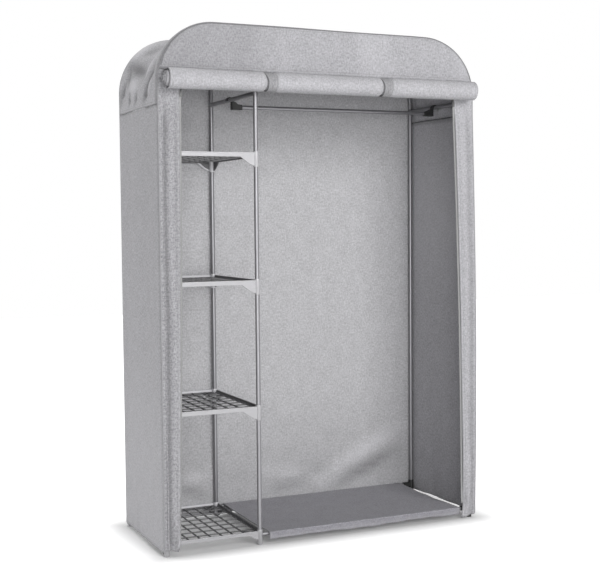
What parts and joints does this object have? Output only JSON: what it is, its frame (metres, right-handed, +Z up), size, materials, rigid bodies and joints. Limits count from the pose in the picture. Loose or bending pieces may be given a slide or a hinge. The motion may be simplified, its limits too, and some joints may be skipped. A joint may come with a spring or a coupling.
{
  "type": "portable fabric wardrobe",
  "caption": "Free-standing wardrobe: steel tube frame with a hanging bay beside a column of open shelves, under a fabric cover whose door is rolled up at the top.",
  "frame": {"origin": "on the floor, under the middle of the overall box of the wardrobe, its rolled door included", "axes": "+Z up; +Y from the door side to the back; +X to the right for someone who faces the door side"},
  "size_m": [1.138, 0.4934, 1.6375],
  "materials": {
    "tube_steel": "grey powder coat, satin",
    "shelf_plastic": "grey, moulded, semi-matt",
    "black_plastic": "black, moulded, semi-matt",
    "cover_cloth": "mottled light grey, linen look",
    "floor_cloth": "mottled dark grey",
    "zip_cloth": "grey woven tape",
    "zip_metal": "grey metal, slightly worn"
  },
  "bodies": {
    "frame": {"left_front_post_lower": "tube_steel", "left_front_post_centre": "tube_steel", "left_front_post_upper": "tube_steel", "left_back_post_lower": "tube_steel", "left_back_post_centre": "tube_steel", "left_back_post_upper": "tube_steel", "middle_front_post_lower": "tube_steel", "middle_front_post_centre": "tube_steel", "middle_front_post_upper": "tube_steel", "middle_front_post_top": "tube_steel", "middle_back_post_lower": "tube_steel", "middle_back_post_centre": "tube_steel", "middle_back_post_upper": "tube_steel", "middle_back_post_top": "tube_steel", "right_front_post": "tube_steel", "right_back_post": "tube_steel", "left_front_hoop_corner": "tube_steel", "right_front_hoop_corner": "tube_steel", "front_roof_rail": "tube_steel", "left_back_hoop_corner": "tube_steel", "right_back_hoop_corner": "tube_steel", "back_roof_rail": "tube_steel", "middle_front_tee": "black_plastic", "middle_back_tee": "black_plastic", "left_side_rail": "tube_steel", "middle_side_rail": "tube_steel", "right_side_rail": "tube_steel", "right_front_foot": "black_plastic", "right_back_foot": "black_plastic", "front_bottom_rail": "tube_steel", "back_bottom_rail": "tube_steel", "bottom_shelf": "shelf_plastic", "bottom_shelf_grid": "shelf_plastic", "lower_shelf": "shelf_plastic", "lower_shelf_grid": "shelf_plastic", "middle_shelf": "shelf_plastic", "middle_shelf_grid": "shelf_plastic", "upper_shelf": "shelf_plastic", "upper_shelf_grid": "shelf_plastic", "floor_panel": "floor_cloth", "hood": "cover_cloth", "header": "cover_cloth", "back_panel": "cover_cloth", "left_side": "cover_cloth", "right_side": "cover_cloth", "left_front_strip": "cover_cloth", "left_zip_tape": "zip_cloth", "right_front_strip": "cover_cloth", "right_zip_tape": "zip_cloth"},
    "hanging_rail": {"hanging_rail": "tube_steel", "hanging_rail_left_hook": "black_plastic", "hanging_rail_right_hook": "black_plastic"},
    "left_slider": {"left_zip_slider": "zip_metal"},
    "left_pull": {"left_zip_pull": "zip_metal"},
    "right_slider": {"right_zip_slider": "zip_metal"},
    "right_pull": {"right_zip_pull": "zip_metal"},
    "rolled_door": {"rolled_door": "cover_cloth", "left_door_strap": "cover_cloth", "right_door_strap": "cover_cloth"}
  },
  "joints": [
    {"name": "hanging_rail_slide", "type": "slide", "parent": "frame", "child": "hanging_rail", "axis": [0, 1, 0], "range_m": [-0.208, 0.155]},
    {"name": "left_zip_slide", "type": "slide", "parent": "frame", "child": "left_slider", "axis": [-0.0147, 0, -0.9999], "range_m": [0, 1.36]},
    {"name": "left_pull_swing", "type": "hinge", "parent": "left_slider", "child": "left_pull", "pos_m": [-0.49079, -0.18405, 1.43003], "axis": [-0.9999, 0, 0.0147], "range_deg": [0, 80]},
    {"name": "right_zip_slide", "type": "slide", "parent": "frame", "child": "right_slider", "axis": [0.0252, 0, -0.9997], "range_m": [0, 1.36]},
    {"name": "right_pull_swing", "type": "hinge", "parent": "right_slider", "child": "right_pull", "pos_m": [0.47197, -0.18405, 1.43004], "axis": [-0.9997, 0, -0.0252], "range_deg": [0, 80]},
    {"name": "rolled_door_swing", "type": "hinge", "parent": "frame", "child": "rolled_door", "pos_m": [0, -0.18055, 1.49], "axis": [-1, 0, 0], "range_deg": [0, 60]}
  ]
}
